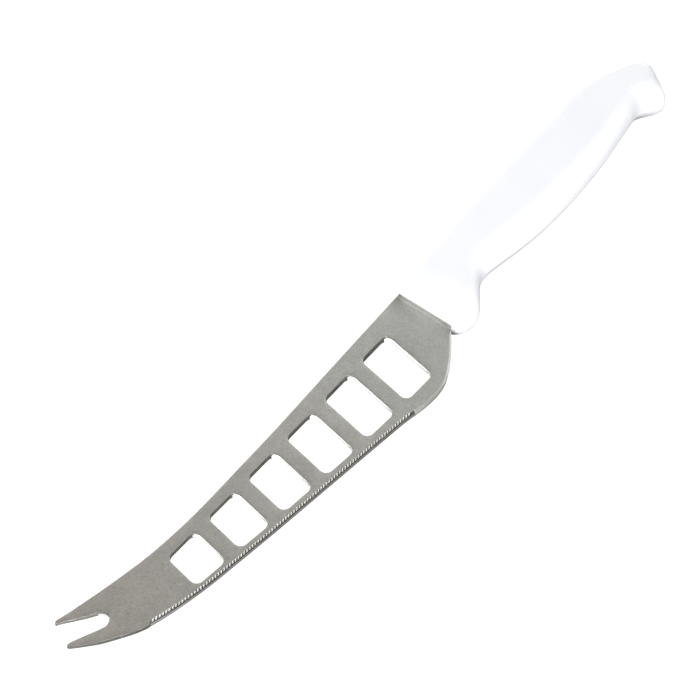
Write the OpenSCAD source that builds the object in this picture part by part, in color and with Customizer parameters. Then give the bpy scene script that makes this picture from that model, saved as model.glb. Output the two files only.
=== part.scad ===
// Cheese knife lying on its side: a forked, finely serrated steel blade whose
// tang is moulded into a one-piece white plastic handle.
// Lengths in mm. +X runs from the fork to the butt, +Y from the cutting edge to
// the spine and +Z up. The origin is under the middle of the knife, on the
// surface that the handle's flat side rests on.

/* [Blade] */
// Length from the lower fork point to the front of the handle
blade_len = 139; // [125:1:150]
// Thickness of the steel at the handle
blade_t = 2.8; // [2.6:0.1:3]
// Thickness of the steel at the fork's points
tip_t = 1.1; // [1:0.1:1.4]
// Thickness of the steel at the root of the fork's notch
neck_t = 1.7; // [1.5:0.1:1.9]
// Thickness of the ground steel just behind the cutting edge
edge_t = 1.5; // [1.3:0.1:1.6]
// Angle of the flat grind that thins each side towards the edge
grind_angle = 2.2; // [1:0.1:3]
// Width of the unground strip in front of the handle
strip_w = 0.9; // [0.5:0.1:2]

/* [Edge] */
// Slope of the single bevel on the upper side
bevel_angle = 48; // [40:1:50]
// Pitch of the teeth
tooth_pitch = 1; // [0.8:0.1:2]
// Depth of the teeth
tooth_depth = 0.2; // [0.1:0.05:0.4]

/* [Windows] */
// Number of windows through the blade
window_count = 6; // [1:1:6]
// Width of the window nearest the fork
window_first_w = 11; // [6:0.1:11]
// How much wider each next window is
window_step_w = 0.1; // [0:0.05:0.2]
// Width of the steel between two windows
web_w = 4.8; // [4.2:0.1:5.4]
// Lean of the windows' sides towards the handle
window_lean = 9; // [0:1:12]
// Radius of the windows' corners
window_r = 2.2; // [1:0.1:3]

/* [Handle] */
// Length of the handle
handle_len = 110; // [100:1:120]
// Thickness of the handle between its flat sides
handle_t = 16; // [15:0.5:16]
// Radius of the rim round the handle's front face
front_r = 0.6; // [0.3:0.1:0.6]
// Squareness of the spine half of the grip's section, where 2 is an ellipse
spine_square = 3; // [2.2:0.1:3.5]
// Squareness of the belly half of the grip's section
belly_square = 2.5; // [2.2:0.1:3.5]

/* [Tang] */
// Length of the tang inside the handle
tang_len = 95; // [60:1:98]
// Height of the tang
tang_h = 10.5; // [8:0.5:11]
// Radius of the holes that the plastic flows through
lock_r = 2.2; // [1.5:0.1:2.5]

/* [Hidden] */
$fn = 48;

// Outlines are drawn from the middle of the handle's front face, with +X
// towards the butt. Each table holds [x, y] pairs in rising x.
sb = blade_len / 139;
sh = handle_len / 110;
mid_x = (139 * sb - handle_len) / 2;
mid_y = 0.6;
mid_z = handle_t / 2;

// Spine of the blade
spine_tab = [[-130, 16.3], [-123, 14.5], [-115, 12.7], [-107, 11.2], [-98, 10.1],
    [-88, 9.4], [-75, 9.1], [-55, 8.8], [-30, 8.9], [2, 8.9]];
// Fork, from the spine round the upper point, the notch and the lower point
fork_pts = [[-130, 16.3], [-132.8, 17.1], [-135.1, 17.8], [-135.9, 17.4], [-134.7, 16.5],
    [-131.8, 14.2], [-129.2, 12.2], [-126.8, 10.5], [-125.8, 8.9], [-126.2, 7.5],
    [-128.2, 6.6], [-130.2, 7.2], [-134.2, 9.2], [-137.6, 10.8], [-138.7, 11],
    [-139, 10.6], [-138.4, 9.8], [-136, 7.5]];
// Lower side of the blade: plain behind the fork, then the edge and the round heel
edge_tab = [[-136, 7.5], [-132.5, 4.5], [-128, 1.4], [-124, -0.9], [-120, -2.5],
    [-114, -4.3], [-105, -6.4], [-95, -8.1], [-80, -10.4], [-65, -12.5], [-50, -14.6],
    [-38, -16.3], [-32, -17.2], [-27, -18.3], [-23, -18.9], [-19, -19], [-15.5, -18.4],
    [-12, -16.9], [-8, -14.7], [-4, -12], [0, -9.1], [2, -9.1]];
// How far the plain part behind the fork lies inside that line
plain_tab = [[-136, 0], [-133, 0.24], [-129, 0.24], [-123, 0.08], [-121, 0.08]];
// Where the teeth and the bevel begin and end
tooth_first = -121.4;
tooth_last = -29.5;
bevel_last = -1.2;
// Height of the bevel's outer edge: low along the teeth, high round the blunt heel
bevel_z_tab = [[-122, -0.3], [-32, -0.3], [-28, -0.2], [-23.5, 0.15], [-10, 0.55], [0, 0.8]];
// Windows: the lines that their upper and lower sides follow, and the first one's start
top_line = [[-106, 6.8], [-60, 4.9], [-12, 3.6]];
low_line = [[-106, -4.4], [-91, -6.4], [-77, -8.4], [-62, -10.3], [-48, -12], [-30, -13.6],
    [-12, -14.6]];
window_x0 = -105.1;

// Handle: spine side, belly side with guard and hooked butt, line of greatest
// thickness, and half thickness before the flats are cut
top_tab = [[0, 9.4], [10, 9.6], [20, 10], [37, 10.5], [60, 10.5], [80, 10.6], [88, 10.5],
    [93, 9.6], [97.5, 7.8], [102, 5.5], [105.5, 3.5], [108, 1.4], [109.3, 0], [110, -1.4]];
low_tab = [[0, -11.1], [1, -12], [3, -12.9], [5.5, -13.2], [9, -12.2], [12, -10.2],
    [15, -8], [18, -6.3], [21, -5.5], [25, -5.6], [30, -6.6], [38, -8.2], [46, -9.3],
    [56, -9.9], [66, -9.9], [76, -9.4], [84, -8.5], [88.5, -7.9], [91.5, -7.6], [94, -7.3],
    [96.2, -7.4], [98.2, -8.5], [100, -10], [101.8, -11.4], [103.3, -11.9], [104.6, -10.2],
    [106.2, -7.8], [107.6, -5.8], [108.9, -4], [109.6, -3], [110, -2.3]];
axis_tab = [[0, 0.8], [10, 1.3], [21, 2], [35, 1.3], [60, 0.6], [85, 1], [95, 0.7],
    [103, -0.9], [110, -1.8]];
thick_tab = [[0, 6.5], [4, 7.5], [10, 8.1], [20, 8.35], [40, 8.6], [65, 8.7], [85, 8.5],
    [98, 8.3], [110, 8.2]];
// Sections along the handle, closer at the front, the guard and the butt
stations = concat([0, 0.1, 0.3, 0.6], [for (x = [1.2 : 1.2 : 21.6]) x],
    [for (x = [25 : 4 : 85]) x], [for (x = [88 : 1.5 : 106]) x],
    [107, 107.9, 108.6, 109.2, 109.6, 109.85, 110]);
ring_n = 40;

// ---- curves ----

// Index of the span of table t that holds x
function span(t, x, i = 0) = i >= len(t) - 2 || x < t[i + 1][0] ? i : span(t, x, i + 1);
// Slope of table t at knot i
function slope(t, i) = let (a = max(i - 1, 0), b = min(i + 1, len(t) - 1))
    (t[b][1] - t[a][1]) / (t[b][0] - t[a][0]);
// Smooth curve through table t
function curve(t, x) = let (i = span(t, x), w = t[i + 1][0] - t[i][0], s = (x - t[i][0]) / w)
    (2 * s ^ 3 - 3 * s ^ 2 + 1) * t[i][1] + (s ^ 3 - 2 * s ^ 2 + s) * w * slope(t, i)
    + (3 * s ^ 2 - 2 * s ^ 3) * t[i + 1][1] + (s ^ 3 - s ^ 2) * w * slope(t, i + 1);
// Smooth open path through points p, with m steps between each pair
function path(p, m) = [for (i = [0 : len(p) - 2]) for (k = [0 : m - 1])
    let (a = p[max(i - 1, 0)], b = p[i], c = p[i + 1], d = p[min(i + 2, len(p) - 1)], s = k / m)
    (2 * b + (c - a) * s + (2 * a - 5 * b + 4 * c - d) * s ^ 2
    + (3 * b - a - 3 * c + d) * s ^ 3) / 2];

function spine_y(x) = curve(spine_tab, x);
function edge_y(x) = curve(edge_tab, x);
function edge_slope(x) = (edge_y(x + 0.2) - edge_y(x - 0.2)) / 0.4;
// Unit vector from the edge into the steel
function edge_in(x) = let (m = edge_slope(x)) [-m, 1] / sqrt(1 + m * m);

// ---- blade ----

// Outline of the steel in front of the handle, with its teeth
tooth_n = floor((tooth_last - tooth_first) / (tooth_pitch * 0.987));
tooth_dx = (tooth_last - tooth_first) / tooth_n;
outline = concat(
    [for (x = [-0.4, -15, -30, -42, -55, -65, -75, -82, -88, -93, -98, -102.5, -107, -111, -115,
        -119, -123, -126.5]) [x, spine_y(x)]],
    path(fork_pts, 4),
    [for (x = [-136 : 1.5 : -122.5]) [x, edge_y(x) + curve(plain_tab, x)]],
    [for (k = [0 : tooth_n - 1]) for (h = [0, 0.5]) let (x = tooth_first + (k + h) * tooth_dx)
        [x, edge_y(x)] + edge_in(x) * (h > 0 ? tooth_depth : 0)],
    [for (x = [tooth_last : 1.5 : -1.5]) [x, edge_y(x)]],
    [[-0.4, edge_y(-0.4)]]);

// A window's four corners, from its lower left one against the clock
function corners(i) = let (
        x0 = window_x0 + i * (window_first_w + web_w) + window_step_w * i * (i - 1) / 2,
        x1 = x0 + window_first_w + i * window_step_w, k = tan(window_lean))
    [let (y = curve(low_line, x0)) [x0 + k * y, y], let (y = curve(low_line, x1)) [x1 + k * y, y],
     let (y = curve(top_line, x1)) [x1 + k * y, y], let (y = curve(top_line, x0)) [x0 + k * y, y]];
// A polygon's corners rounded to radius r by short chords
function rounded(p, r) = let (n = len(p)) [for (i = [0 : n - 1])
    let (a = p[(i + n - 1) % n], b = p[i], c = p[(i + 1) % n],
        u = (a - b) / norm(a - b), v = (c - b) / norm(c - b),
        half = acos(u * v) / 2, m = (u + v) / norm(u + v), o = b + m * r / sin(half),
        t0 = b + u * r / tan(half), t1 = b + v * r / tan(half),
        a0 = atan2(t0[1] - o[1], t0[0] - o[0]), da = atan2(t1[1] - o[1], t1[0] - o[0]) - a0,
        turn = da < -180 ? da + 360 : da > 180 ? da - 360 : da)
    for (k = [0 : 8]) let (g = a0 + turn * k / 8) o + r * [cos(g), sin(g)]];

// Steel that the flat grind takes off one side
module grind() {
    translate([tooth_first, edge_y(tooth_first), edge_t / 2])
        rotate([0, 0, -9.85]) rotate([grind_angle, 0, 0])
            translate([-60, -60, 0]) cube([240, 160, 8]);
}

// Steel that the single bevel takes off, swept along the edge
module bevel_cut() {
    xs = [for (k = [0 : 44]) tooth_first + (bevel_last - tooth_first) * (1 - (1 - k / 44) ^ 1.3)];
    t = tan(bevel_angle);
    pts = [for (x = xs) let (p = [x, edge_y(x)], n = edge_in(x), z = curve(bevel_z_tab, x),
            a = p - 1.5 * n, b = p + 3 * n)
        each [[a[0], a[1], z - 1.5 * t], [b[0], b[1], z + 3 * t], [b[0], b[1], 5], [a[0], a[1], 5]]];
    n = len(xs);
    faces = concat([[0, 1, 2, 3]],
        [for (i = [0 : n - 2]) for (k = [0 : 3]) let (a = 4 * i + k, b = 4 * i + (k + 1) % 4)
            each [[a, a + 4, b], [b, a + 4, b + 4]]],
        [[for (k = [3 : -1 : 0]) 4 * (n - 1) + k]]);
    polyhedron(pts, faces, convexity = 4);
}

// Full-thickness end of the blade: the unground strip, the shoulders and the tang
module shank() {
    mid = 0.7;
    h = tang_h / 2;
    translate([0, 0, -blade_t / 2]) linear_extrude(blade_t) difference() {
        union() {
            polygon([[-strip_w, edge_y(-strip_w)], [0, edge_y(0)], [2, edge_y(0)],
                [2, spine_y(0)], [-strip_w, spine_y(-strip_w)]]);
            polygon([[1, mid - h], [tang_len * 0.55, mid - h + 0.4], [tang_len - 2, mid - h + 2],
                [tang_len, mid - h + 4], [tang_len, mid + h - 4], [tang_len - 2, mid + h - 2],
                [tang_len * 0.55, mid + h - 0.4], [1, mid + h]]);
        }
        for (x = [0.2, 0.5, 0.8]) translate([tang_len * x, mid]) circle(lock_r);
    }
}

module blade() color("#969289") translate([mid_x, mid_y, mid_z]) {
    difference() {
        intersection() {
            translate([0, 0, -4]) linear_extrude(8) scale([sb, 1]) polygon(outline);
            rotate([90, 0, 0]) translate([0, 0, -30]) linear_extrude(60)
                polygon([[-141 * sb, -tip_t / 2], [-126 * sb, -neck_t / 2], [0, 0.05 - blade_t / 2],
                    [0, blade_t / 2 - 0.05], [-126 * sb, neck_t / 2], [-141 * sb, tip_t / 2]]);
        }
        for (i = [0 : window_count - 1]) translate([0, 0, -5]) linear_extrude(10)
            polygon(rounded(corners(i), window_r));
        grind();
        mirror([0, 0, 1]) grind();
        bevel_cut();
    }
    shank();
}

// ---- handle ----

// Inset of the rounded rim at distance x behind the front face
function rim(x) = x >= front_r ? 0 : front_r - sqrt(front_r ^ 2 - (front_r - x) ^ 2);
// Share of the thickness left as the butt rounds off
function butt(x) = x < 102 ? 1 : sqrt(1 - ((x - 102) / 8.2) ^ 3);
// The guard thins towards its lower rim
function guard_thin(x) = x < 22 ? 0.7 * (1 - x / 22) ^ 2 : 0;
function power(v, e) = sign(v) * abs(v) ^ e;
function section(x) = let (r = rim(x), m = curve(axis_tab, x), up = curve(top_tab, x) - r - m,
        down = m - curve(low_tab, x) - r, half = curve(thick_tab, x) * butt(x) - r)
    [for (j = [0 : ring_n - 1]) let (a = 360 * j / ring_n, s = sin(a),
            n = s > 0 ? spine_square : belly_square - guard_thin(x))
        [x * sh, m + (s > 0 ? up : down) * power(s, 2 / n), half * power(cos(a), 2 / n)]];

module handle_form() {
    pts = [for (x = stations) each section(x)];
    n = len(stations);
    faces = concat([[for (j = [0 : ring_n - 1]) j]],
        [for (i = [0 : n - 2]) for (j = [0 : ring_n - 1])
            let (a = i * ring_n + j, b = i * ring_n + (j + 1) % ring_n)
            each [[a, a + ring_n, b], [b, a + ring_n, b + ring_n]]],
        [[for (j = [ring_n - 1 : -1 : 0]) (n - 1) * ring_n + j]]);
    polyhedron(pts, faces, convexity = 6);
}

module handle() color("#f2f4f8") translate([mid_x, mid_y, mid_z]) difference() {
    intersection() {
        handle_form();
        translate([-2, -30, -handle_t / 2]) cube([handle_len + 10, 60, handle_t]);
    }
    shank();
}

blade();
handle();
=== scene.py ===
"""Cheese knife lying on its side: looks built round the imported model.

Shapes are worked out in millimetres from the middle of the handle's front face
(x towards the butt, y towards the spine, z up from the knife's middle plane),
and placed in the row frame in metres.
"""

import math

import bpy
import numpy as np
from mathutils import Matrix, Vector
from mathutils.geometry import delaunay_2d_cdt


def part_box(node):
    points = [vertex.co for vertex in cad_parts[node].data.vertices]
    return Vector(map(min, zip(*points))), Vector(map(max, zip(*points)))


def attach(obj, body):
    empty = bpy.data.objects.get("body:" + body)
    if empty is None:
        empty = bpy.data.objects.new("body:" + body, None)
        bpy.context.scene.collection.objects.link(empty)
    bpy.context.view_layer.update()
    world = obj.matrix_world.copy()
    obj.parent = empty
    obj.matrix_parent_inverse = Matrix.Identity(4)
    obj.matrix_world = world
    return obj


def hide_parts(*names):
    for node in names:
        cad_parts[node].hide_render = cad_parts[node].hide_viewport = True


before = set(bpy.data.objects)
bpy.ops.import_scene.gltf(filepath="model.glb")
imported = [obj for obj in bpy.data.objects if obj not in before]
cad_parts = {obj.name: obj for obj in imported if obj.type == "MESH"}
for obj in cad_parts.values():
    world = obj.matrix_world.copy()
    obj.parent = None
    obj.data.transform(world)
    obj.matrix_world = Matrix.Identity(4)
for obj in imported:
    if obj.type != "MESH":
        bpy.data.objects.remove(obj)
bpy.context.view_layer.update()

MID = np.array([14.5, 0.6, 8.0])


def place(co):
    return (np.asarray(co, float) + MID) / 1000.0


# ---------------------------------------------------------------- camera

TILT = math.radians(34.0)
TURN = math.radians(52.7)
DIST = 680.65
FOCUS_PX = 2478.0
OFF_X, OFF_Y = 20.827, 13.399
PLANE_Z = 9.0


def make_camera():
    ex = np.array([math.cos(TURN), -math.sin(TURN), 0.0])
    ey = np.array([math.sin(TURN), math.cos(TURN), 0.0])
    ez = np.array([0.0, 0.0, 1.0])
    forward = math.sin(TILT) * ey - math.cos(TILT) * ez
    up = math.cos(TILT) * ey + math.sin(TILT) * ez
    aim = -OFF_X * ex - OFF_Y * ey + np.array([MID[0], MID[1], PLANE_Z])
    eye = (aim - DIST * forward) / 1000.0
    data = bpy.data.cameras.new("camera")
    data.sensor_width = 36.0
    data.lens = FOCUS_PX * 36.0 / 700.0
    data.clip_start, data.clip_end = 0.05, 50.0
    cam = bpy.data.objects.new("camera", data)
    bpy.context.scene.collection.objects.link(cam)
    m = Matrix.Identity(4)
    for r in range(3):
        m[r][0], m[r][1], m[r][2], m[r][3] = ex[r], up[r], -forward[r], eye[r]
    cam.matrix_world = m
    bpy.context.scene.camera = cam
    return cam


make_camera()

# ---------------------------------------------------------------- outlines, as in the CAD

BLADE_T, EDGE_T = 2.8, 1.5
TAPER = [(-141, 0.55), (-126, 0.85), (0, 1.35)]
GRIND = math.radians(2.2)
STRIP = 0.9
SPINE = [(-130, 16.3), (-123, 14.5), (-115, 12.7), (-107, 11.2), (-98, 10.1),
         (-88, 9.4), (-75, 9.1), (-55, 8.8), (-30, 8.9), (2, 8.9)]
FORK = [(-130, 16.3), (-132.8, 17.1), (-135.1, 17.8), (-135.9, 17.4), (-134.7, 16.5),
        (-131.8, 14.2), (-129.2, 12.2), (-126.8, 10.5), (-125.8, 8.9), (-126.2, 7.5),
        (-128.2, 6.6), (-130.2, 7.2), (-134.2, 9.2), (-137.6, 10.8), (-138.7, 11),
        (-139, 10.6), (-138.4, 9.8), (-136, 7.5)]
EDGE = [(-136, 7.5), (-132.5, 4.5), (-128, 1.4), (-124, -0.9), (-120, -2.5),
        (-114, -4.3), (-105, -6.4), (-95, -8.1), (-80, -10.4), (-65, -12.5), (-50, -14.6),
        (-38, -16.3), (-32, -17.2), (-27, -18.3), (-23, -18.9), (-19, -19), (-15.5, -18.4),
        (-12, -16.9), (-8, -14.7), (-4, -12), (0, -9.1), (2, -9.1)]
PLAIN = [(-136, 0), (-133, -0.04), (-129, 0.06), (-123, -0.12), (-121, -0.12)]
TOOTH_FIRST, TOOTH_LAST, BEVEL_LAST = -121.4, -29.5, -1.2
TOOTH_N = 93
BEVEL_Z = [(-122, -0.3), (-32, -0.3), (-28, -0.2), (-23.5, 0.15), (-10, 0.55), (0, 0.8)]
TOP_LINE = [(-106, 6.8), (-60, 4.9), (-12, 3.6)]
LOW_LINE = [(-106, -4.4), (-91, -6.4), (-77, -8.4), (-62, -10.3), (-48, -12), (-30, -13.6),
            (-12, -14.6)]
WINDOW_X0, WINDOW_W, WINDOW_STEP, WEB = -105.1, 11.0, 0.1, 4.8
WINDOW_LEAN, WINDOW_R = math.radians(9), 2.2
TANG_LEN, TANG_H, TANG_Y, LOCK_R = 95.0, 10.5, 0.7, 2.2

TOP = [(0, 9.4), (10, 9.6), (20, 10), (37, 10.5), (60, 10.5), (80, 10.6), (88, 10.5),
       (93, 9.6), (97.5, 7.8), (102, 5.5), (105.5, 3.5), (108, 1.4), (109.3, 0), (110, -1.4)]
LOW = [(0, -11.1), (1, -12), (3, -12.9), (5.5, -13.2), (9, -12.2), (12, -10.2),
       (15, -8), (18, -6.3), (21, -5.5), (25, -5.6), (30, -6.6), (38, -8.2), (46, -9.3),
       (56, -9.9), (66, -9.9), (76, -9.4), (84, -8.5), (88.5, -7.9), (91.5, -7.6), (94, -7.3),
       (96.2, -7.4), (98.2, -8.5), (100, -10), (101.8, -11.4), (103.3, -11.9), (104.6, -10.2),
       (106.2, -7.8), (107.6, -5.8), (108.9, -4), (109.6, -3), (110, -2.3)]
AXIS = [(0, 0.8), (10, 1.3), (21, 2), (35, 1.3), (60, 0.6), (85, 1), (95, 0.7),
        (103, -0.9), (110, -1.8)]
THICK = [(0, 6.5), (4, 7.5), (10, 8.1), (20, 8.35), (40, 8.6), (65, 8.7), (85, 8.5),
         (98, 8.3), (110, 8.2)]


def curve(tab, x):
    """Smooth curve through a table, the same one as in the CAD."""
    t = np.asarray(tab, float)
    x = np.asarray(x, float)
    n = len(t)
    i = np.clip(np.searchsorted(t[:, 0], x, side="right") - 1, 0, n - 2)
    a = np.maximum(np.arange(n) - 1, 0)
    b = np.minimum(np.arange(n) + 1, n - 1)
    m = (t[b, 1] - t[a, 1]) / (t[b, 0] - t[a, 0])
    w = t[i + 1, 0] - t[i, 0]
    s = (x - t[i, 0]) / w
    return ((2 * s**3 - 3 * s**2 + 1) * t[i, 1] + (s**3 - 2 * s**2 + s) * w * m[i]
            + (3 * s**2 - 2 * s**3) * t[i + 1, 1] + (s**3 - s**2) * w * m[i + 1])


def smooth(a, b, x):
    t = np.clip((np.asarray(x, float) - a) / (b - a), 0, 1)
    return t * t * (3 - 2 * t)


def catmull(p, m):
    p = np.asarray(p, float)
    out = []
    for i in range(len(p) - 1):
        a, b, c, d = p[max(i - 1, 0)], p[i], p[i + 1], p[min(i + 2, len(p) - 1)]
        for k in range(m):
            s = k / m
            out.append((2 * b + (c - a) * s + (2 * a - 5 * b + 4 * c - d) * s**2
                        + (3 * b - a - 3 * c + d) * s**3) / 2)
    return np.array(out)


# ---------------------------------------------------------------- blade

GX0, GY0 = TOOTH_FIRST, float(curve(EDGE, TOOTH_FIRST))
GA = math.radians(9.85)


def half_t(p):
    """Half thickness of the steel at points p."""
    x, y = p[:, 0], p[:, 1]
    taper = np.interp(x, *zip(*TAPER))
    grind = EDGE_T / 2 + math.tan(GRIND) * ((x - GX0) * math.sin(GA) + (y - GY0) * math.cos(GA))
    k = 0.03
    h = -k * np.logaddexp(-taper / k, -grind / k)
    # the unground strip in front of the handle, with the grinding wheel's small radius
    step = np.clip((x + STRIP + 0.34) / 0.34, 0, 1)
    return h + (BLADE_T / 2 - h) * np.where(x >= -STRIP, 1.0, 0.9 * step**2)


def loop_normals(p):
    """Unit vectors to the left of a closed loop's direction."""
    e = np.roll(p, -1, 0) - p
    e /= np.linalg.norm(e, axis=1)[:, None]
    n = np.stack([-e[:, 1], e[:, 0]], 1)
    m = n + np.roll(n, 1, 0)
    m /= np.linalg.norm(m, axis=1)[:, None]
    cos = (m * n).sum(1)
    return m / np.maximum(cos, 0.6)[:, None]


STEP_X = -STRIP + np.array([0.02, -0.02, -0.12, -0.23, -0.34, -0.5, -0.8])


def outer_outline():
    """The steel's outline against the clock. Returns the points and the range that has the bevel."""
    spine_x = np.concatenate([[2.0, 1.0, 0.0, -0.5], STEP_X, np.arange(-2.6, -129.5, -0.9)])
    spine = np.stack([spine_x, curve(SPINE, spine_x)], 1)
    fork = catmull(FORK, 9)
    low_x = np.arange(-136, TOOTH_FIRST - 0.3, 0.55)
    # the ground edge starts with a small step, where the stamped outline stands a little proud
    low = np.stack([low_x, curve(EDGE, low_x) + curve(PLAIN, low_x)], 1)
    k = np.arange(TOOTH_N * TOOTH_COLS + 1) / TOOTH_COLS
    tooth_x = TOOTH_FIRST + (TOOTH_LAST - TOOTH_FIRST) * k / TOOTH_N
    heel_x = np.concatenate([np.arange(TOOTH_LAST + 0.3, -2.0, 0.3), [-1.75, -1.5]])
    band_x = np.concatenate([tooth_x, heel_x])
    band = np.stack([band_x, curve(EDGE, band_x)], 1)
    end_x = np.concatenate([STEP_X[4::-1], [-0.5, 0.0, 1.0, 2.0]])
    end = np.stack([end_x, curve(EDGE, end_x)], 1)
    h = TANG_H / 2
    tang = [(2.0, y) for y in np.linspace(curve(EDGE, 2.0), TANG_Y - h, 5)[1:]]
    keys = [(2.0, TANG_Y - h), (TANG_LEN * 0.55, TANG_Y - h + 0.4), (TANG_LEN - 2, TANG_Y - h + 2),
            (TANG_LEN, TANG_Y - h + 4), (TANG_LEN, TANG_Y + h - 4), (TANG_LEN - 2, TANG_Y + h - 2),
            (TANG_LEN * 0.55, TANG_Y + h - 0.4), (2.0, TANG_Y + h)]
    for a, b in zip(keys[:-1], keys[1:]):
        n = max(1, int(math.dist(a, b) / 2.0))
        tang += [tuple(np.array(a) + (np.array(b) - np.array(a)) * (i + 1) / n) for i in range(n)]
    tang += [(2.0, y) for y in np.linspace(TANG_Y + h, curve(SPINE, 2.0), 5)[1:-1]]
    parts = [spine, fork, low, band, end, np.array(tang)]
    pts = np.concatenate(parts)
    k0 = len(spine) + len(fork) + len(low)
    return pts, k0, k0 + len(band) - 1, len(tooth_x), len(fork), len(low)


def window_outline(i):
    x0 = WINDOW_X0 + i * (WINDOW_W + WEB) + WINDOW_STEP * i * (i - 1) / 2
    x1 = x0 + WINDOW_W + i * WINDOW_STEP
    k = math.tan(WINDOW_LEAN)
    c = []
    for x, tab in ((x0, LOW_LINE), (x1, LOW_LINE), (x1, TOP_LINE), (x0, TOP_LINE)):
        y = float(curve(tab, x))
        c.append(np.array([x + k * y, y]))
    arcs = []
    for j in range(4):
        a, b, d = c[j - 1], c[j], c[(j + 1) % 4]
        u, v = (a - b) / np.linalg.norm(a - b), (d - b) / np.linalg.norm(d - b)
        half = math.acos(float(u @ v)) / 2
        o = b + (u + v) / np.linalg.norm(u + v) * WINDOW_R / math.sin(half)
        t0, t1 = b + u * WINDOW_R / math.tan(half), b + v * WINDOW_R / math.tan(half)
        a0 = math.atan2(*(t0 - o)[::-1])
        da = (math.atan2(*(t1 - o)[::-1]) - a0 + math.pi) % (2 * math.pi) - math.pi
        arcs.append([o + WINDOW_R * np.array([math.cos(a0 + da * q / 12), math.sin(a0 + da * q / 12)]) for q in range(13)])
    out = []
    for j in range(4):
        out += arcs[j]
        a, b = arcs[j][-1], arcs[(j + 1) % 4][0]
        n = max(2, int(np.linalg.norm(b - a) / 0.8))
        out += [a + (b - a) * q / n for q in range(1, n)]
    return np.array(out)


def hole_outline(cx, cy, r, n=40):
    a = np.arange(n) * 2 * math.pi / n
    return np.stack([cx + r * np.cos(a), cy + r * np.sin(a)], 1)


def inside(poly, q):
    x, y = q[:, 0], q[:, 1]
    hit = np.zeros(len(q), bool)
    px, py = poly[:, 0], poly[:, 1]
    qx, qy = np.roll(px, -1), np.roll(py, -1)
    for a, b, c, d in zip(px, py, qx, qy):
        if (b > y).any() or (d > y).any():
            cross = (b > y) != (d > y)
            if cross.any():
                xi = a + (y - b) * (c - a) / (d - b if d != b else 1e-12)
                hit ^= cross & (x < xi)
    return hit


FACE, CUT, GROUND, TORN_LIT, MILL, SHORN_LIT, HEEL_LIT, LIT_FLANK, SHADED_EDGE_WALL = 0, 1, 2, 3, 4, 5, 6, 7, 8
LOW_R = 0.09
ROUND = np.radians([0, 22.5, 45, 67.5, 90])
BAND_D = np.array([0.26, 0.33, 0.4, 0.47, 0.54, 0.61, 0.68, 0.75, 0.82, 0.89, 0.96, 1.03, 1.1, 1.17, 1.25, 1.4])
TOOTH_COLS = 14
TOOTH_SLANT = 1.1
BEVEL = 48


class Builder:
    def __init__(self):
        self.co, self.faces, self.mats = [], [], []

    def add(self, pts):
        """Adds rows of points and returns their numbers in the same shape."""
        pts = np.asarray(pts, float)
        first = len(self.co)
        flat = pts.reshape(-1, 3)
        self.co.extend(map(tuple, flat))
        return (first + np.arange(len(flat))).reshape(pts.shape[:-1])

    def strip(self, a, b, mat, closed=True, flip=False):
        """Quads between two rows of point numbers."""
        n = len(a)
        for i in range(n if closed else n - 1):
            j = (i + 1) % n
            f = (a[i], a[j], b[j], b[i])
            self.faces.append(f[::-1] if flip else f)
            self.mats.append(mat if np.isscalar(mat) else int(mat[i]))

    def object(self, name, node, sharp=None):
        """The finished piece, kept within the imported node's box."""
        lo, hi = (np.array(v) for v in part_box(node))
        co = np.clip(place(self.co), lo + 2e-7, hi - 2e-7)
        me = bpy.data.meshes.new(name)
        me.from_pydata([tuple(v) for v in co], [], [tuple(int(i) for i in f) for f in self.faces])
        me.polygons.foreach_set("material_index", np.array(self.mats, np.int32))
        me.polygons.foreach_set("use_smooth", np.ones(len(self.faces), bool))
        me.update()
        if sharp:
            me.set_sharp_from_angle(angle=math.radians(sharp))
        ob = bpy.data.objects.new(name, me)
        bpy.context.scene.collection.objects.link(ob)
        return ob


def lean(s):
    """How much of the grooves' slant the mesh's columns follow, s teeth along the edge."""
    return smooth(0, 6, s) * (1 - smooth(TOOTH_N - 6, TOOTH_N, s))


def phase(s, d):
    """Where a column that starts s teeth along the edge lies in its groove, d inside the contour."""
    return (s - TOOTH_SLANT * d * (1 - lean(s))) % 1.0


def bevel_z(s, d, x):
    """Height of the ground bevel d inside the contour, on columns that start s teeth along it."""
    groove = np.interp(phase(s, d), np.array([0, 1, 3, 7, 8, 14]) / 14, [0, 0.92, 0.96, 0.08, 0, 0])
    on = smooth(0, 0.6, s) * (1 - smooth(TOOTH_N - 0.6, TOOTH_N, s))
    return curve(BEVEL_Z, x) + d * math.tan(math.radians(BEVEL)) - 0.21 * on * groove * smooth(0.55, 0.8, d)


def under(face, bevel, k):
    """The lower of the two surfaces, with the corner between them eased by about k."""
    return -k * np.logaddexp(-face / k, -bevel / k)


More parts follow.
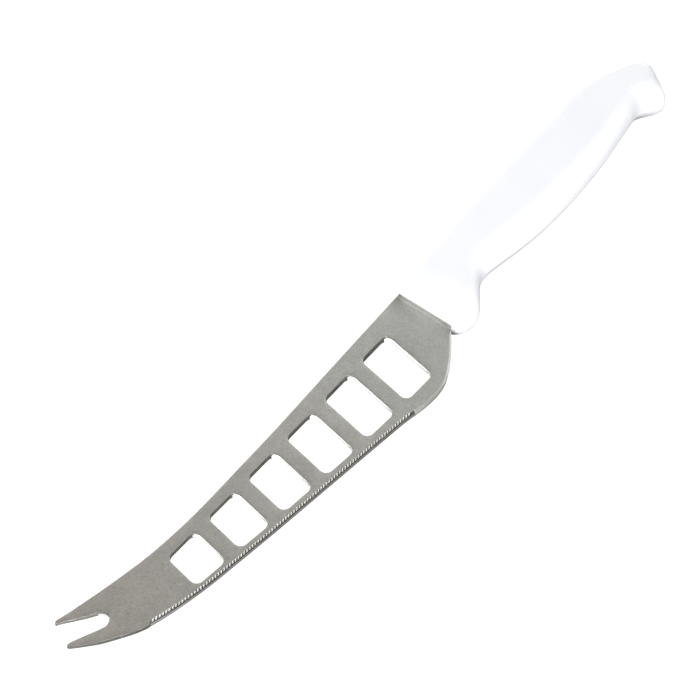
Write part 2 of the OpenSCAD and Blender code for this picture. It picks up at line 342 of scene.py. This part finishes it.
def make_blade():
    b = Builder()
    outer, k0, k1, n_tooth, n_fork, n_low = outer_outline()
    nrm = loop_normals(outer)
    n = len(outer)
    h = half_t(outer)
    xs, ys = outer[:, 0], outer[:, 1]
    # rounded upper rim: wide along the spine, tight round the fork and below it
    rim = 0.025 + 0.175 * smooth(-120, -100, xs) * smooth(0, 3, ys)
    bend, sink = 1 - np.cos(ROUND), 1 - np.sin(ROUND)
    rows = []
    s_all = np.zeros(n)
    s_all[k0:k0 + n_tooth] = np.arange(n_tooth) / TOOTH_COLS
    s_all[k0 + n_tooth:k1 + 1] = TOOTH_N
    band = np.zeros(n, bool)
    band[k0:k1 + 1] = True
    bx = xs[band]
    rim[band] = 0.2
    fade = 1.2 * (1 - smooth(TOOTH_FIRST - 0.05, TOOTH_FIRST + 0.25, bx)) + 0.8 * smooth(-2.6, -1.5, bx)
    ease = 0.006 + 0.1 * smooth(TOOTH_LAST, TOOTH_LAST + 3, bx)
    bs, step = s_all[band], np.arange(band.sum(), dtype=float)

    def slide(d):
        """The band's points d inside the contour, along the grooves, and the bevel's height there."""
        at = step + TOOTH_SLANT * d * lean(bs) * TOOTH_COLS
        px, py, nx, ny = (np.interp(at, step, v[band]) for v in (xs, ys, nrm[:, 0], nrm[:, 1]))
        return np.column_stack([px + nx * d, py + ny * d]), bevel_z(bs, d, px) + fade

    for j in range(len(ROUND)):
        q = outer + nrm * (rim * bend[j])[:, None]
        q[band], bz = slide(0.2 * bend[j])
        z = half_t(q) - rim * sink[j]
        z[band] = under(z[band], bz, ease)
        rows.append(b.add(np.column_stack([q, z])))
    inner_rows, inner_face = [], []
    for d in BAND_D:
        q, bz = slide(d)
        face = half_t(q)
        z = under(face, bz, ease)
        inner_rows.append(b.add(np.column_stack([q, z])))
        inner_face.append(face - z)
    # painted light: past the last tooth the bevel and its wall get a lighter, rougher, partly dielectric copy of the
    # ground steel
    ground_kind = np.where(bx > TOOTH_LAST + 0.7, HEEL_LIT, GROUND)
    # painted shade: the wall along the toothed edge gets a dark steel
    wall_kind = np.where(bx > TOOTH_LAST + 0.7, HEEL_LIT, SHADED_EDGE_WALL)
    rim_kind = np.full(n, FACE)
    rim_kind[band] = wall_kind
    for a, c in zip(rows[:-1], rows[1:]):
        b.strip(a, c, rim_kind)
    prev, last_d = rows[-1][k0:k1 + 1], 0.2
    mid_s = (s_all[band][:-1] + s_all[band][1:]) / 2
    for cur, gap, d in zip(inner_rows, inner_face, BAND_D):
        ground = gap > 0.012
        f = phase(mid_s, (d + last_d) / 2)
        # painted highlight: the groove flanks that face the light get a lighter, less metallic steel
        flank = (f > 1.6 / 14) & (f < 8 / 14) & (mid_s > 0.5) & (mid_s < TOOTH_N - 0.5) & (last_d > 0.5)
        kind = np.where(flank, LIT_FLANK, (wall_kind if d < 0.3 else ground_kind)[:-1])
        b.strip(prev, cur, np.where(ground[:-1] | ground[1:], kind, FACE), closed=False)
        prev, last_d = cur, d
    # wall and lower rim
    z0 = np.array([b.co[i][2] for i in rows[0]])
    z1 = -h + LOW_R
    m0 = b.add(np.column_stack([outer, z1 + 0.55 * (z0 - z1)]))
    w0 = b.add(np.column_stack([outer, z1]))
    q1, q2 = outer + nrm * LOW_R * 0.3, outer + nrm * LOW_R
    w1 = b.add(np.column_stack([q1, -half_t(q1) + LOW_R * 0.3]))
    w2 = b.add(np.column_stack([q2, -half_t(q2)]))
    # in the fork's notch the sheared wall gets a lighter, half-metal steel, painted light so that it looks as light as
    # the side, and its root gets the torn steel, partly torn and partly painted light
    wall = np.full(n, CUT)
    wall[band] = wall_kind
    f0 = k0 - n_low - n_fork
    wall[f0 + 30:f0 + 62] = SHORN_LIT
    wall[f0 + 62:f0 + 84] = TORN_LIT
    b.strip(m0, rows[0], np.where(wall == TORN_LIT, CUT, wall))
    b.strip(w0, m0, wall)
    b.strip(w1, w0, wall)
    b.strip(w2, w1, FACE)
    top_loops = [np.concatenate([rows[-1][:k0 + 1], [r[0] for r in inner_rows[:-1]], inner_rows[-1],
                                 [r[-1] for r in inner_rows[:-1]][::-1], rows[-1][k1:]])]
    low_loops = [w2]
    # openings
    holes = [window_outline(i) for i in range(6)] + [hole_outline(TANG_LEN * f, TANG_Y, LOCK_R) for f in (0.2, 0.5, 0.8)]
    for loop in holes:
        out = -loop_normals(loop)
        r = 0.06
        tops = []
        for j in range(len(ROUND)):
            q = loop + out * r * bend[j]
            tops.append(b.add(np.column_stack([q, half_t(q) - r * sink[j]])))
        for j, (a, c) in enumerate(zip(tops[:-1], tops[1:])):
            b.strip(a, c, CUT if j < 3 else FACE, flip=True)
        hz = half_t(loop)
        q1, q2 = loop + out * LOW_R * 0.3, loop + out * LOW_R
        # the steel sheared clean at the top and tore below, most on the walls that face the fork; the torn part is near
        # white, partly the torn steel's own dullness and partly a painted highlight for the light falling on the walls
        # that face the fork
        to_fork = smooth(0.35, 0.8, out[:, 0])
        m0 = b.add(np.column_stack([loop, (hz - r) - (hz - r) * (1.1 - 0.75 * to_fork)]))
        w0 = b.add(np.column_stack([loop, -hz + LOW_R]))
        w1 = b.add(np.column_stack([q1, -half_t(q1) + LOW_R * 0.3]))
        w2 = b.add(np.column_stack([q2, -half_t(q2)]))
        kind = np.where((to_fork + np.roll(to_fork, -1)) > 1.0, TORN_LIT, CUT)
        b.strip(m0, tops[0], CUT, flip=True)
        b.strip(w0, m0, kind, flip=True)
        b.strip(w1, w0, kind, flip=True)
        b.strip(w2, w1, FACE, flip=True)
        top_loops.append(tops[-1])
        low_loops.append(w2)
    # flat sides
    gx, gy = np.meshgrid(np.arange(-138, 95, 1.7), np.arange(-19, 18, 1.5))
    gx = gx + (np.arange(gx.shape[0]) % 2)[:, None] * 0.85
    grid = np.column_stack([gx.ravel(), gy.ravel()])
    step_rows = [np.column_stack([np.full(60, x), np.linspace(-8.2, 8.2, 60)]) for x in STEP_X]
    for loops, sign in ((top_loops, 1), (low_loops, -1)):
        co = np.array(b.co)
        ids = np.concatenate(loops)
        p = co[ids][:, :2]
        edges, at = [], 0
        for lp in loops:
            k = len(lp)
            edges += [(at + i, at + (i + 1) % k) for i in range(k)]
            at += k
        polys = [co[lp][:, :2] for lp in loops]
        ok = inside(polys[0], grid)
        for poly in polys[1:]:
            ok &= ~inside(poly, grid)
        g = grid[ok & ~((grid[:, 0] > -2.4) & (grid[:, 0] < 0.4))]
        near = np.min(np.hypot(g[:, None, 0] - p[None, ::3, 0], g[:, None, 1] - p[None, ::3, 1]), axis=1)
        g = g[near > 0.75]
        g = np.concatenate([g, *step_rows])
        pts = np.concatenate([p, g])
        out = delaunay_2d_cdt([tuple(v) for v in pts], edges, [], 0, 1e-7, True)
        vco, tris, orig = out[0], out[2], out[3]
        new = np.array([[v[0], v[1]] for v in vco])
        number = np.full(len(new), -1)
        for i, o in enumerate(orig):
            for k in o:
                if k < len(ids):
                    number[i] = ids[k]
                    break
        fresh = np.flatnonzero(number < 0)
        hz = half_t(new[fresh]) * sign
        number[fresh] = b.add(np.column_stack([new[fresh], hz]))
        tri = np.array(tris)
        c = new[tri].mean(1)
        keep = inside(polys[0], c)
        for poly in polys[1:]:
            keep &= ~inside(poly, c)
        tri, c = tri[keep], c[keep]
        u, v = new[tri[:, 1]] - new[tri[:, 0]], new[tri[:, 2]] - new[tri[:, 0]]
        size = u[:, 0] * v[:, 1] - u[:, 1] * v[:, 0]
        for t, s, x in zip(tri, size, c[:, 0]):
            if abs(s) < 1e-9:
                continue
            f = number[t] if (s > 0) == (sign > 0) else number[t][::-1]
            b.faces.append(tuple(f))
            b.mats.append(MILL if x > -STRIP else FACE)
    return b.object("steel_blade", "blade", 24)


# ---------------------------------------------------------------- handle

HANDLE_L, HALF_FLAT, FRONT_R = 110.0, 8.0, 0.6


def section(x, m=64):
    """Upper half of the handle's section at x, from the spine round to the belly."""
    r = 0.0 if x >= FRONT_R else FRONT_R - math.sqrt(FRONT_R**2 - (FRONT_R - x) ** 2)
    mid = float(curve(AXIS, x))
    up, down = float(curve(TOP, x)) - r - mid, mid - float(curve(LOW, x)) - r
    butt = 1.0 if x < 102 else math.sqrt(max(0.0, 1 - ((x - 102) / 8.2) ** 3))
    half = float(curve(THICK, x)) * butt - r
    thin = 0.7 * (1 - x / 22) ** 2 if x < 22 else 0.0
    a = np.linspace(math.pi / 2, -math.pi / 2, 721)
    s, c = np.sin(a), np.cos(a)
    n = np.where(s > 0, 3.0, 2.5 - thin)
    y = mid + np.where(s > 0, up, down) * np.sign(s) * np.abs(s) ** (2 / n)
    z = half * np.abs(c) ** (2 / n)
    k = 0.16
    z = HALF_FLAT - k * np.logaddexp(0, (HALF_FLAT - z) / k)
    z -= z[0]
    z *= (min(half, HALF_FLAT - 0.001)) / max(z.max(), 1e-9)
    z[0] = z[-1] = 0.0
    run = np.concatenate([[0], np.cumsum(np.hypot(np.diff(y), np.diff(z)))])
    whole = run[-1]
    e = min(0.3, whole * 0.06)
    t = np.concatenate([[0, 0.25 * e, 0.55 * e], np.linspace(e, whole - e, m), [whole - 0.55 * e, whole - 0.25 * e, whole]])
    return np.interp(t, run, y), np.interp(t, run, z)


def make_handle():
    b = Builder()
    xs = np.concatenate([FRONT_R * (1 - np.cos(np.radians([0, 18, 36, 54, 72, 90]))),
                         np.arange(0.9, 24, 0.45), np.arange(24, 86, 0.9), np.arange(86, 106, 0.4),
                         np.arange(106, 109.2, 0.2), [109.3, 109.45, 109.6, 109.72, 109.82, 109.9, 109.96, 110.0]])
    rows = []
    for x in xs:
        y, z = section(float(x))
        lift = 0.03 * smooth(0.6, 2.0, x) * (1 - smooth(108, 110, x))
        y = y.copy()
        y[0] += lift
        y[-1] -= lift
        y[1] += lift * 0.8
        y[-2] -= lift * 0.8
        yy = np.concatenate([y, y[-2:0:-1]])
        zz = np.concatenate([z, -z[-2:0:-1]])
        rows.append(b.add(np.column_stack([np.full(len(yy), x), yy, zz])))
    for a, c in zip(rows[:-1], rows[1:]):
        b.strip(a, c, 0)
    # front face: rings towards its middle line
    co = np.array(b.co)
    ring = co[rows[0]]
    mid = np.array([0.0, 0.0, 0.0])
    prev = rows[0]
    for share in (0.985, 0.93, 0.8, 0.6, 0.35):
        cur = b.add(np.column_stack([ring[:, 0], mid[1] + (ring[:, 1] - mid[1]) * share, ring[:, 2] * share]))
        b.strip(cur, prev, 0)
        prev = cur
    m = b.add([[0, mid[1], 0]])[0]
    k = len(prev)
    for i in range(k):
        b.faces.append((m, prev[(i + 1) % k], prev[i]))
        b.mats.append(0)
    # butt end
    last = rows[-1]
    c = np.array(b.co)[last].mean(0)
    m = b.add([c])[0]
    for i in range(len(last)):
        b.faces.append((last[i], last[(i + 1) % len(last)], m))
        b.mats.append(0)
    return b.object("white_handle", "handle")


blade = make_blade()
handle = make_handle()

# ---------------------------------------------------------------- materials


class Nodes:
    """A small helper for building a material's nodes."""

    def __init__(self, name):
        self.mat = bpy.data.materials.new(name)
        self.mat.use_nodes = True
        self.t = self.mat.node_tree
        self.t.nodes.clear()
        self.out = self.t.nodes.new("ShaderNodeOutputMaterial")
        self.bsdf = self.t.nodes.new("ShaderNodeBsdfPrincipled")
        self.t.links.new(self.bsdf.outputs[0], self.out.inputs[0])
        self.coord = self.t.nodes.new("ShaderNodeTexCoord").outputs["Object"]

    def link(self, a, b):
        self.t.links.new(a, b)

    def scaled(self, scale, turn=0.0):
        n = self.t.nodes.new("ShaderNodeMapping")
        n.inputs["Scale"].default_value = scale
        n.inputs["Rotation"].default_value = (0, 0, turn)
        if turn:
            first = self.t.nodes.new("ShaderNodeMapping")
            first.inputs["Rotation"].default_value = (0, 0, turn)
            self.link(self.coord, first.inputs["Vector"])
            n.inputs["Rotation"].default_value = (0, 0, 0)
            self.link(first.outputs[0], n.inputs["Vector"])
        else:
            self.link(self.coord, n.inputs["Vector"])
        return n.outputs[0]

    def noise(self, scale, detail=2.0, rough=0.5, at=None):
        n = self.t.nodes.new("ShaderNodeTexNoise")
        n.inputs["Scale"].default_value = scale
        n.inputs["Detail"].default_value = detail
        n.inputs["Roughness"].default_value = rough
        self.link(at if at is not None else self.coord, n.inputs["Vector"])
        return n.outputs["Fac"]

    def math(self, op, a, b=None, c=None):
        n = self.t.nodes.new("ShaderNodeMath")
        n.operation = op
        for i, v in enumerate((a, b, c)):
            if v is None:
                continue
            if isinstance(v, (int, float)):
                n.inputs[i].default_value = v
            else:
                self.link(v, n.inputs[i])
        return n.outputs[0]

    def remap(self, v, a, b, lo, hi):
        n = self.t.nodes.new("ShaderNodeMapRange")
        n.clamp = True
        for i, w in enumerate((a, b, lo, hi)):
            n.inputs[1 + i].default_value = w
        self.link(v, n.inputs[0])
        return n.outputs[0]

    def mix(self, fac, a, b, kind="MIX"):
        n = self.t.nodes.new("ShaderNodeMix")
        n.data_type = "RGBA"
        n.blend_type = kind
        for sock, v in ((n.inputs[0], fac), (n.inputs[6], a), (n.inputs[7], b)):
            if isinstance(v, (int, float)):
                sock.default_value = v
            elif isinstance(v, tuple):
                sock.default_value = (*v, 1.0)
            else:
                self.link(v, sock)
        return n.outputs[2]

    def bump(self, height, strength, distance, normal=None):
        n = self.t.nodes.new("ShaderNodeBump")
        n.inputs["Strength"].default_value = strength
        n.inputs["Distance"].default_value = distance
        self.link(height, n.inputs["Height"])
        if normal is not None:
            self.link(normal, n.inputs["Normal"])
        return n.outputs[0]


def steel_face():
    n = Nodes("satin_steel")
    blotch = n.noise(90.0, 3.0, 0.55)
    cloud = n.noise(420.0, 4.0, 0.65)
    grain = n.noise(2100.0, 3.0, 0.7)
    lines = n.noise(1.0, 2.0, 0.5, at=n.scaled((5200.0, 260.0, 600.0), math.radians(-8)))
    tone = n.math("ADD", n.math("MULTIPLY", blotch, 0.35), n.math("MULTIPLY", cloud, 0.65))
    along = n.t.nodes.new("ShaderNodeSeparateXYZ")
    n.link(n.coord, along.inputs[0])
    tint = n.mix(n.remap(along.outputs[0], -0.115, 0.01, 0, 1), (0.505, 0.485, 0.437), (0.565, 0.565, 0.534))
    warm = n.remap(tone, 0.34, 0.66, 0.89, 1.11)
    pits = n.remap(grain, 0.32, 0.68, 0.72, 1.28)
    share = n.math("ADD", n.math("MULTIPLY", warm, 0.5), n.math("MULTIPLY", pits, 0.5))
    level = n.t.nodes.new("ShaderNodeVectorMath")
    level.operation = "SCALE"
    n.link(tint, level.inputs[0])
    # painted shade: a little darker close to the handle, standing in for the handle's dark reflection in the steel
    near = n.math("MULTIPLY", n.remap(along.outputs[0], 0.0085, 0.0113, 1.0, 0.835),
                  n.remap(along.outputs[0], 0.0113, 0.0130, 1.0, 0.75))
    near = n.math("MAXIMUM", near, n.remap(along.outputs[0], 0.0130, 0.0134, 0.6, 1.0))
    n.link(n.math("MULTIPLY", share, near), level.inputs["Scale"])
    n.link(level.outputs[0], n.bsdf.inputs["Base Color"])
    n.bsdf.inputs["Metallic"].default_value = 1.0
    n.link(n.math("ADD", n.remap(tone, 0.3, 0.7, 0.35, 0.43), n.math("MULTIPLY", grain, 0.06)), n.bsdf.inputs["Roughness"])
    height = n.math("ADD", n.math("MULTIPLY", grain, 1.0), n.math("MULTIPLY", lines, 0.35))
    n.link(n.bump(height, 0.5, 0.00003), n.bsdf.inputs["Normal"])
    return n.mat


def steel_wall(name, dark, light, rough, metal=1.0):
    n = Nodes(name)
    streak = n.noise(1.0, 3.0, 0.6, at=n.scaled((3500.0, 3500.0, 350.0)))
    cloud = n.noise(700.0, 2.0, 0.5)
    n.link(n.mix(n.remap(streak, 0.3, 0.7, 0, 1), dark, light), n.bsdf.inputs["Base Color"])
    n.bsdf.inputs["Metallic"].default_value = metal
    n.link(n.remap(cloud, 0.3, 0.7, rough - 0.07, rough + 0.07), n.bsdf.inputs["Roughness"])
    n.link(n.bump(streak, 0.5, 0.00003), n.bsdf.inputs["Normal"])
    return n.mat


def steel_ground(name, dark, light, rough, metal=1.0):
    n = Nodes(name)
    scratch = n.noise(1.0, 2.0, 0.5, at=n.scaled((7000.0, 500.0, 500.0), math.radians(-20)))
    cloud = n.noise(900.0, 2.0, 0.5)
    n.link(n.mix(n.remap(cloud, 0.35, 0.65, 0, 1), dark, light), n.bsdf.inputs["Base Color"])
    n.bsdf.inputs["Metallic"].default_value = metal
    n.link(n.remap(scratch, 0.3, 0.7, rough - 0.04, rough + 0.04), n.bsdf.inputs["Roughness"])
    n.link(n.bump(scratch, 0.15, 0.00002), n.bsdf.inputs["Normal"])
    return n.mat


def steel_mill():
    n = Nodes("mill_steel")
    cloud = n.noise(600.0, 3.0, 0.6)
    n.link(n.mix(n.remap(cloud, 0.3, 0.7, 0, 1), (0.36, 0.345, 0.315), (0.44, 0.42, 0.385)), n.bsdf.inputs["Base Color"])
    n.bsdf.inputs["Metallic"].default_value = 1.0
    n.link(n.remap(cloud, 0.3, 0.7, 0.32, 0.42), n.bsdf.inputs["Roughness"])
    n.link(n.bump(cloud, 0.4, 0.00003), n.bsdf.inputs["Normal"])
    return n.mat


def plastic():
    n = Nodes("white_plastic")
    fine = n.noise(2600.0, 3.0, 0.6)
    wide = n.noise(60.0, 2.0, 0.5)
    base = n.mix(n.remap(wide, 0.35, 0.65, 0, 1), (0.838, 0.85, 0.878), (0.858, 0.868, 0.893))
    # painted shade: the lower half is darker, most round the guard's front, standing in for the shade on the underside
    # along the belly; a painted shadow sits in the corner under the blade's heel
    at = n.t.nodes.new("ShaderNodeSeparateXYZ")
    n.link(n.coord, at.inputs[0])
    front = n.remap(at.outputs[0], 0.0205, 0.0235, 1, 0)
    waist = n.math("MULTIPLY", n.remap(at.outputs[0], 0.0315, 0.0365, 0, 1),
                   n.remap(at.outputs[0], 0.1120, 0.1160, 1, 0.15))
    low = n.math("MULTIPLY_ADD", front, -0.0018, at.outputs[2])
    grey = n.remap(n.math("MAXIMUM", front, waist), 0, 1, 1.0, 0.54)
    share = n.t.nodes.new("ShaderNodeMapRange")
    share.clamp = True
    share.interpolation_type = "SMOOTHSTEP"
    share.inputs[1].default_value, share.inputs[2].default_value = 0.0040, 0.0064
    share.inputs[4].default_value = 1.0
    n.link(low, share.inputs[0])
    n.link(grey, share.inputs[3])
    # painted shadow: a dark spot in the corner under the blade's heel
    gap = n.t.nodes.new("ShaderNodeVectorMath")
    gap.operation = "DISTANCE"
    gap.inputs[1].default_value = tuple(place((0.2, -9.9, -2.6)))
    n.link(n.coord, gap.inputs[0])
    corner_and_butt_shade = n.remap(gap.outputs["Value"], 0.0009, 0.0031, 0.28, 1)
    # painted shade: the butt's lower part, inside the hook, is a little darker too
    hook = n.math("MULTIPLY", n.remap(at.outputs[0], 0.1010, 0.1100, 0, 1), n.remap(at.outputs[1], -0.001, 0.004, 1, 0))
    hook = n.math("MULTIPLY", hook, n.remap(at.outputs[2], 0.0145, 0.0159, 1, 0))
    corner_and_butt_shade = n.math("MULTIPLY", corner_and_butt_shade, n.remap(hook, 0, 1, 1, 0.86))
    # the base colour with the painted shade multiplied in
    shaded_base = n.t.nodes.new("ShaderNodeVectorMath")
    shaded_base.operation = "SCALE"
    n.link(base, shaded_base.inputs[0])
    n.link(n.math("MULTIPLY", share.outputs[0], corner_and_butt_shade), shaded_base.inputs["Scale"])
    n.link(shaded_base.outputs[0], n.bsdf.inputs["Base Color"])
    n.link(n.math("ADD", n.remap(fine, 0.3, 0.7, 0.40, 0.48), n.math("MULTIPLY", wide, 0.04)), n.bsdf.inputs["Roughness"])
    n.bsdf.inputs["IOR"].default_value = 1.49
    n.bsdf.inputs["Subsurface Weight"].default_value = 0.12
    n.bsdf.inputs["Subsurface Radius"].default_value = (1.0, 0.9, 0.8)
    n.bsdf.inputs["Subsurface Scale"].default_value = 0.0012
    swell = n.bump(wide, 0.25, 0.0002)
    n.link(n.bump(fine, 0.25, 0.00002, swell), n.bsdf.inputs["Normal"])
    return n.mat


# the torn, shorn, heel and tooth-flank steels are lighter copies of the steel, painted light; the edge steel is a
# darker copy, painted shade
for m in (steel_face(), steel_wall("cut_steel", (0.36, 0.35, 0.325), (0.54, 0.525, 0.49), 0.45),
          steel_ground("ground_steel", (0.58, 0.56, 0.52), (0.68, 0.66, 0.615), 0.19),
          steel_wall("torn_lit_steel", (0.86, 0.86, 0.855), (0.95, 0.95, 0.945), 0.6, 0.0), steel_mill(),
          steel_wall("shorn_lit_steel", (0.25, 0.24, 0.22), (0.34, 0.33, 0.31), 0.55, 0.5),
          steel_ground("heel_lit_steel", (0.53, 0.52, 0.495), (0.59, 0.58, 0.555), 0.48, 0.85),
          steel_ground("lit_flank_steel", (0.62, 0.61, 0.59), (0.70, 0.69, 0.67), 0.5, 0.35),
          steel_wall("shaded_edge_steel", (0.21, 0.205, 0.195), (0.28, 0.275, 0.26), 0.5, 0.7)):
    blade.data.materials.append(m)
handle.data.materials.append(plastic())

for ob, node, slot in ((blade, "blade", "steel"), (handle, "handle", "plastic")):
    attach(ob, "root")
    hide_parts(node)

# ---------------------------------------------------------------- floor, light


def make_floor():
    """White to the camera, as the photograph's cleared background is, and a plain pale grey to other rays."""
    me = bpy.data.meshes.new("floor")
    s = 12.0
    me.from_pydata([(-s, -s, 0), (s, -s, 0), (s, s, 0), (-s, s, 0)], [], [(0, 1, 2, 3)])
    ob = bpy.data.objects.new("floor", me)
    bpy.context.scene.collection.objects.link(ob)
    mat = bpy.data.materials.new("floor_white")
    mat.use_nodes = True
    t = mat.node_tree
    t.nodes.clear()
    out = t.nodes.new("ShaderNodeOutputMaterial")
    add = t.nodes.new("ShaderNodeAddShader")
    mix = t.nodes.new("ShaderNodeMixShader")
    path = t.nodes.new("ShaderNodeLightPath")
    seen = t.nodes.new("ShaderNodeBsdfDiffuse")
    seen.inputs[0].default_value = (0.22, 0.22, 0.22, 1)
    glow = t.nodes.new("ShaderNodeEmission")
    glow.inputs[0].default_value = (1, 1, 1, 1)
    glow.inputs[1].default_value = 0.90
    other = t.nodes.new("ShaderNodeBsdfDiffuse")
    other.inputs[0].default_value = (0.16, 0.16, 0.16, 1)
    t.links.new(seen.outputs[0], add.inputs[0])
    t.links.new(glow.outputs[0], add.inputs[1])
    t.links.new(path.outputs["Is Camera Ray"], mix.inputs[0])
    t.links.new(other.outputs[0], mix.inputs[1])
    t.links.new(add.outputs[0], mix.inputs[2])
    t.links.new(mix.outputs[0], out.inputs[0])
    me.materials.append(mat)
    return ob


make_floor()


def area(name, direction, distance, size, power, colour=(1, 1, 1)):
    data = bpy.data.lights.new(name, "AREA")
    data.shape = "RECTANGLE"
    data.size, data.size_y = size
    data.energy = power
    data.color = colour
    ob = bpy.data.objects.new(name, data)
    bpy.context.scene.collection.objects.link(ob)
    d = np.asarray(direction, float)
    d /= np.linalg.norm(d)
    z = d
    x = np.cross([0, 0, 1], z)
    x /= np.linalg.norm(x)
    y = np.cross(z, x)
    m = Matrix.Identity(4)
    for r in range(3):
        m[r][0], m[r][1], m[r][2], m[r][3] = x[r], y[r], z[r], d[r] * distance
    ob.matrix_world = m
    ob.visible_camera = False
    return ob


area("key", (-0.66, -0.70, 0.26), 1.25, (0.55, 0.55), 24.0)
area("back", (-0.16, 0.93, 0.34), 1.3, (1.0, 0.6), 14.0)
area("front", (-0.86, 0.30, 0.41), 1.2, (0.7, 0.45), 4.5)
area("end", (0.88, 0.42, 0.11), 1.2, (0.6, 0.3), 5.5)
area("butt", (1.0, 0.15, 0.08), 1.2, (0.5, 0.25), 2.5)
area("flank", (0.82, -0.50, 0.20), 1.2, (0.4, 0.3), 2.0)
area("rim", (0.70, -0.25, 0.67), 1.2, (0.5, 0.3), 0.4)
area("heel", (0.45, -0.36, 0.82), 1.2, (0.45, 0.3), 0.4)

world = bpy.data.worlds.new("world")
bpy.context.scene.world = world
world.use_nodes = True


def make_world(t):
    """Studio surroundings: bright behind the knife, dark on the cutting edge's side."""
    t.nodes.clear()

    def node(kind, **kw):
        n = t.nodes.new(kind)
        for k, v in kw.items():
            setattr(n, k, v)
        return n

    out = node("ShaderNodeOutputWorld")
    sky, plain, mix = node("ShaderNodeBackground"), node("ShaderNodeBackground"), node("ShaderNodeMixShader")
    path, coord = node("ShaderNodeLightPath"), node("ShaderNodeTexCoord")
    dot = node("ShaderNodeVectorMath", operation="DOT_PRODUCT")
    dot.inputs[1].default_value = (0.90, 0.10, 0.42)
    top = node("ShaderNodeMath", operation="MAXIMUM")
    top.inputs[1].default_value = 0.0
    power = node("ShaderNodeMath", operation="POWER")
    power.inputs[1].default_value = 2.2
    gain = node("ShaderNodeMath", operation="MULTIPLY_ADD")
    gain.inputs[1].default_value, gain.inputs[2].default_value = 0.80, 0.12
    t.links.new(coord.outputs["Generated"], dot.inputs[0])
    t.links.new(dot.outputs["Value"], top.inputs[0])
    t.links.new(top.outputs[0], power.inputs[0])
    t.links.new(power.outputs[0], gain.inputs[0])
    t.links.new(gain.outputs[0], sky.inputs["Strength"])
    sky.inputs["Color"].default_value = (1, 1, 1, 1)
    plain.inputs["Color"].default_value = (1, 1, 1, 1)
    plain.inputs["Strength"].default_value = 0.95
    t.links.new(path.outputs["Is Camera Ray"], mix.inputs[0])
    t.links.new(sky.outputs[0], mix.inputs[1])
    t.links.new(plain.outputs[0], mix.inputs[2])
    t.links.new(mix.outputs[0], out.inputs["Surface"])


make_world(world.node_tree)

sc = bpy.context.scene
sc.view_settings.view_transform = "Standard"
sc.view_settings.look = "None"
sc.view_settings.exposure = 0.0
sc.view_settings.gamma = 1.0
